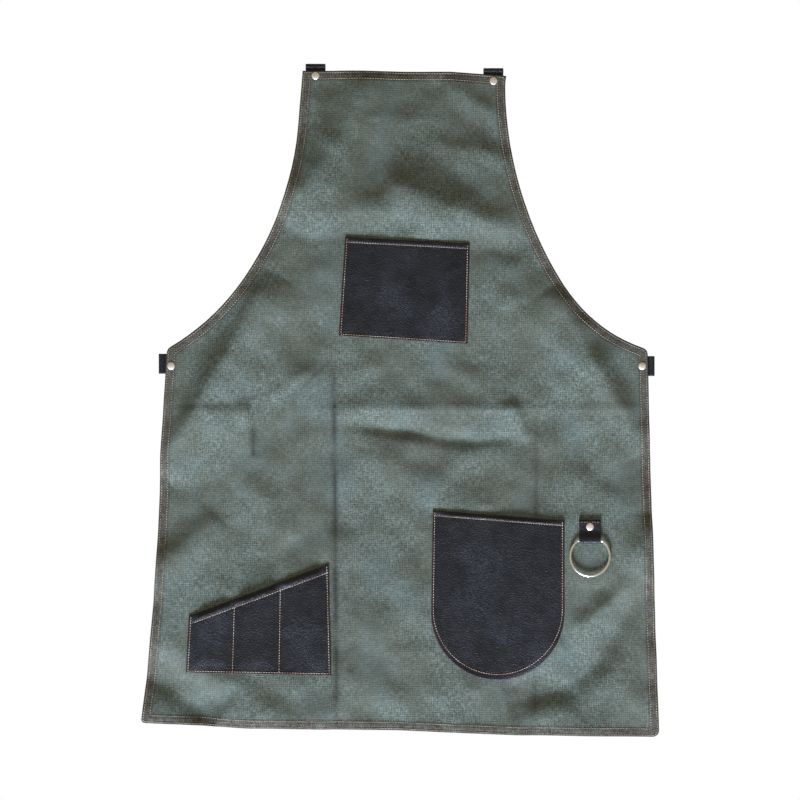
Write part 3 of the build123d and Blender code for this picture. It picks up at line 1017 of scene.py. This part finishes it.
def metal_material(name, color, shade, rough):
    """Plated metal with fine scratches and a little tarnish."""
    n = Nodes(name)
    tarnish = n.remap(n.noise(260.0, 4.0, 0.65), 0.42, 0.72)
    scratches = n.noise(1.0, 3.0, 0.7, n.stretched(2600, 2600, 300))
    mixed = n.mix(tarnish, color, shade)
    roughness = n.remap(scratches, 0.3, 0.7, rough, rough + 0.16)
    return n.finish(mixed, roughness, n.bump(scratches, 0.12, 0.0001), Metallic=1.0)


# ---------------------------------------------------------------- the scene


def make_cloth(material):
    """The canvas, meshed in rings across its hem so that the turned edge and its rows are sharp."""
    across_hem = (0.3, 0.8, 1.6, HEM_ROWS[0], 4.5, 6.5, 8.5, HEM_ROWS[1])
    insets = (*across_hem, HEM_WIDTH - 0.25, HEM_WIDTH + 0.25, 14.5)
    lines = [(start, end) for start, end, _, _ in CREASES]
    inner = filling(CLOTH, CLOTH_PITCH, clear=17.0, insets=insets, lines=lines)
    mesh = shell("cloth", CLOTH, inner, cloth_faces, edge_radius=1.5)
    # How much shade the canvas material paints along the pressed creases
    mark(mesh, "crease_shading", painted_crease_shade(np.array([(v.co.x, v.co.z) for v in mesh.vertices]) / MM))
    cloth = new_object("apron_canvas", mesh, "apron", material)
    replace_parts(cloth, "apron_panel")


def divider_lines():
    """The tool pocket's two dividing rows, from its mouth to its bottom."""
    outline = POCKETS["tool_pocket"]
    left, right = mouth_of(outline)
    low_left = min(outline, key=lambda p: p[0] + p[1])
    low_right = min(outline, key=lambda p: p[1] - p[0])
    lines = []
    for top, bottom in DIVIDERS:
        a = left + (right - left) * top
        b = low_left + (low_right - low_left) * bottom
        drop = (b - a) / math.dist(a, b)
        lines.append(np.array([a + drop * TOOL_MOUTH_ROW, b - drop * ROW_IN]))
    return lines


def make_floor():
    """A pale round floor, well under the hanging hem."""
    bm = bmesh.new()
    bmesh.ops.create_circle(bm, cap_ends=True, segments=96, radius=FLOOR_RADIUS)
    mesh = bpy.data.meshes.new("floor")
    bm.to_mesh(mesh)
    bm.free()
    n = Nodes("floor")
    mesh.materials.append(n.finish((0.70, 0.77, 0.92, 1), 0.9))
    floor = bpy.data.objects.new("floor", mesh)
    floor.location = (0, 0, cad_box[0][2] - FLOOR_DROP)
    floor.visible_shadow = False
    bpy.context.scene.collection.objects.link(floor)


def make_light(name, place, size, power, color):
    """A round area light that faces the apron's middle."""
    data = bpy.data.lights.new(name, "AREA")
    data.shape = "DISK"
    data.size = size
    data.energy = power
    data.color = color
    light = bpy.data.objects.new(name, data)
    light.location = place
    towards = Vector(APRON_MIDDLE) - Vector(place)
    light.rotation_euler = towards.to_track_quat("-Z", "Y").to_euler()
    light.visible_camera = False
    bpy.context.scene.collection.objects.link(light)


def make_world():
    """A white surround that the camera sees, and a dimmer, warmer one that lights the apron."""
    world = bpy.data.worlds.new("surround")
    world.use_nodes = True
    bpy.context.scene.world = world
    tree = world.node_tree
    seen = tree.nodes["Background"]
    seen.inputs["Color"].default_value = (1, 1, 1, 1)
    lit = tree.nodes.new("ShaderNodeBackground")
    lit.inputs["Color"].default_value = AMBIENT
    lit.inputs["Strength"].default_value = AMBIENT_STRENGTH
    path = tree.nodes.new("ShaderNodeLightPath")
    mix = tree.nodes.new("ShaderNodeMixShader")
    tree.links.new(path.outputs["Is Camera Ray"], mix.inputs["Fac"])
    tree.links.new(lit.outputs[0], mix.inputs[1])
    tree.links.new(seen.outputs[0], mix.inputs[2])
    tree.links.new(mix.outputs[0], tree.nodes["World Output"].inputs["Surface"])


def make_camera():
    """A camera square on to the apron, as in the photograph."""
    data = bpy.data.cameras.new("camera")
    data.sensor_width = 36.0
    data.lens = data.sensor_width * CAMERA_DISTANCE / VIEW_WIDTH
    camera = bpy.data.objects.new("camera", data)
    camera.location = (VIEW_CENTRE[0], -CAMERA_DISTANCE, VIEW_CENTRE[1])
    camera.rotation_euler = (math.pi / 2, 0, 0)
    bpy.context.scene.collection.objects.link(camera)
    bpy.context.scene.camera = camera


def main():
    make_camera()
    make_world()
    make_light("key", (-0.42, -1.27, -4.22), size=1.3, power=550.0, color=(0.72, 0.80, 1.0))
    make_light("back", (0.9, 2.0, 0.9), size=1.2, power=45.0, color=(1.0, 0.98, 0.95))
    bpy.context.scene.view_settings.view_transform = "Standard"
    make_floor()

    leather = leather_material()
    hem_thread = thread_material("hem_thread", (0.17, 0.125, 0.080, 1), (0.46, 0.37, 0.26, 1))
    pocket_thread = thread_material("pocket_thread", (0.36, 0.17, 0.075, 1), (0.66, 0.56, 0.44, 1))
    rivet_metal = metal_material("rivet_metal", (0.86, 0.79, 0.72, 1), (0.66, 0.55, 0.46, 1), rough=0.46)
    ring_metal = metal_material("ring_metal", (0.95, 0.90, 0.78, 1), (0.80, 0.72, 0.54, 1), rough=0.2)

    for name in STRAP_LOOPS:
        loop_strap(name, leather)
    make_cloth(canvas_material())
    for name, inset in zip(("hem_thread_outer", "hem_thread_inner"), HEM_ROWS):
        hem_stitches(name, inset, hem_thread)
    for pocket in (
        Pocket("chest_pocket", stand=1.1),
        Pocket("tool_pocket", stand=3.4, mouth_row=TOOL_MOUTH_ROW, dividers=divider_lines()),
        Pocket("round_pocket", stand=2.6),
    ):
        pocket.make(leather)
        pocket.stitches(pocket_thread)
    tab_stitches(tab_strap(leather), hem_thread)
    for name in RIVETS:
        rivet(name, rivet_metal)
    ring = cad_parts["towel_ring"]
    ring.data.materials.clear()
    ring.data.materials.append(ring_metal)


main()
